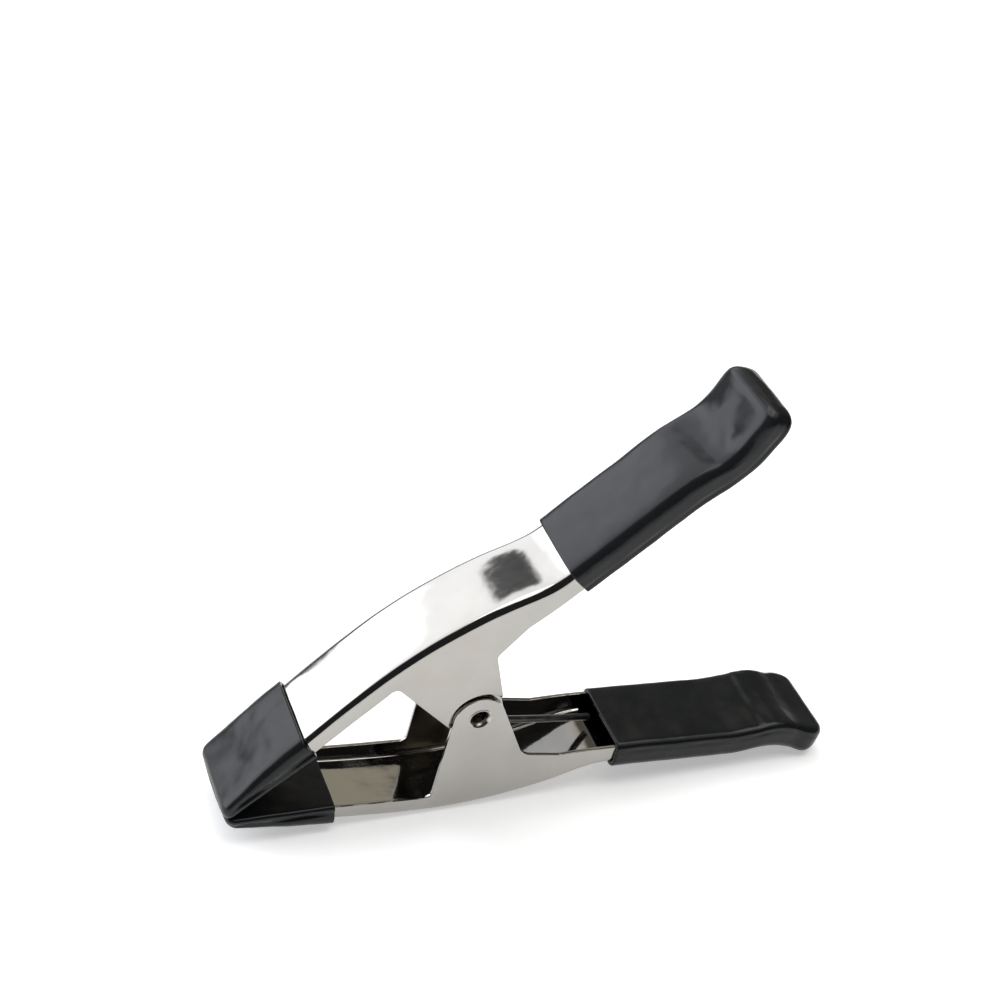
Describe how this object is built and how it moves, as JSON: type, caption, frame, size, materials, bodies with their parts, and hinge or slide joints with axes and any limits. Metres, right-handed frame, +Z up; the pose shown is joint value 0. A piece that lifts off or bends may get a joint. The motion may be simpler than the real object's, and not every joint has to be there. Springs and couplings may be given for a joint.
{
  "type": "spring clamp",
  "caption": "Steel spring clamp: channel arms on a tubular rivet, pushed shut by a torsion spring, with soft vinyl sleeves on jaws and handles.",
  "frame": {"origin": "centre of the footprint, on the surface the clamp lies on", "axes": "+X from the jaws towards the handles, +Y across the clamp along the rivet, +Z up; the clamp lies on its lower arm with the jaws closed"},
  "size_m": [0.2445, 0.0352, 0.17],
  "materials": {
    "nickel_plated_steel": "bright nickel plate on pressed sheet",
    "black_vinyl": "semi-gloss dipped vinyl",
    "rivet_steel": "plated, burnished rim",
    "black_oxide_wire": "black oxide"
  },
  "bodies": {
    "lower_half": {"lower_arm": "nickel_plated_steel", "lower_handle_grip": "black_vinyl", "lower_jaw_cap": "black_vinyl", "pivot_rivet": "rivet_steel", "torsion_spring": "black_oxide_wire"},
    "upper_half": {"upper_arm": "nickel_plated_steel", "upper_handle_grip": "black_vinyl", "upper_jaw_cap": "black_vinyl"}
  },
  "joints": [
    {"name": "jaw_hinge", "type": "hinge", "parent": "lower_half", "child": "upper_half", "pos_m": [-0.0291, 0, 0.04446], "axis": [0, 1, 0], "range_deg": [0, 60], "stiffness_Nm_per_rad": 6, "springref_deg": -57.3, "deforming": ["torsion_spring"]}
  ]
}
